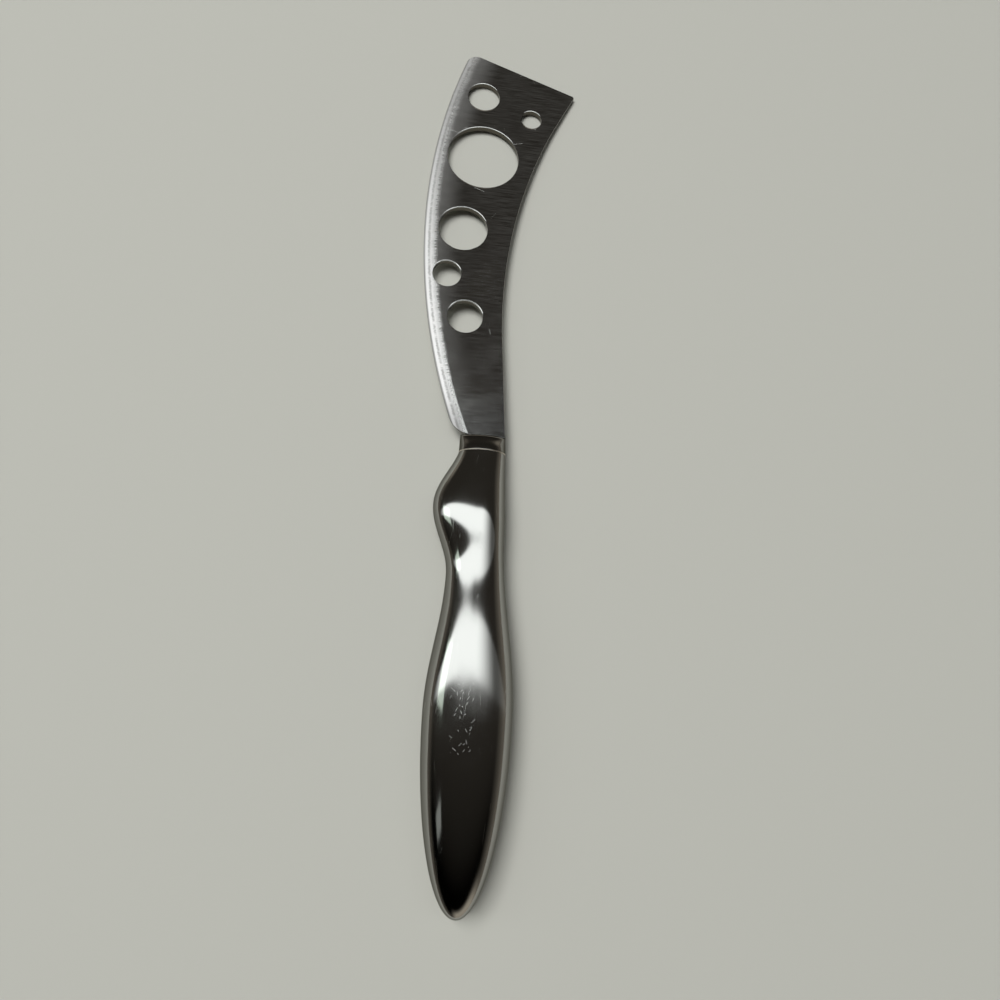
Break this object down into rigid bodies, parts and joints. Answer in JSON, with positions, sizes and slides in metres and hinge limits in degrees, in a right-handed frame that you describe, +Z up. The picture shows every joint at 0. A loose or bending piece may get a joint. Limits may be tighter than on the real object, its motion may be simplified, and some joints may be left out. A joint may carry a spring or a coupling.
{
  "type": "cheese knife",
  "caption": "Cheese knife with a flared, pierced stainless blade and a polished hollow handle with a finger guard.",
  "frame": {"origin": "on the table, under the middle of the lying knife's box", "axes": "+Y from the handle's nose to the blade's tip, -X towards the cutting edge and the finger guard, +Z up"},
  "size_m": [0.0452, 0.2557, 0.0163],
  "materials": {
    "blade_steel": "brushed across the blade, with a bright ground edge",
    "bolster_steel": "polished",
    "solder": "bright filed line",
    "handle_steel": "polished, with fine lengthwise scratches",
    "cement": "matt cast cement"
  },
  "bodies": {
    "root": {"blade": "blade_steel", "bolster": "bolster_steel", "solder_joint": "solder", "handle_upper": "handle_steel", "handle_lower": "handle_steel", "seam_weld": "handle_steel", "handle_core": "cement"}
  },
  "joints": []
}
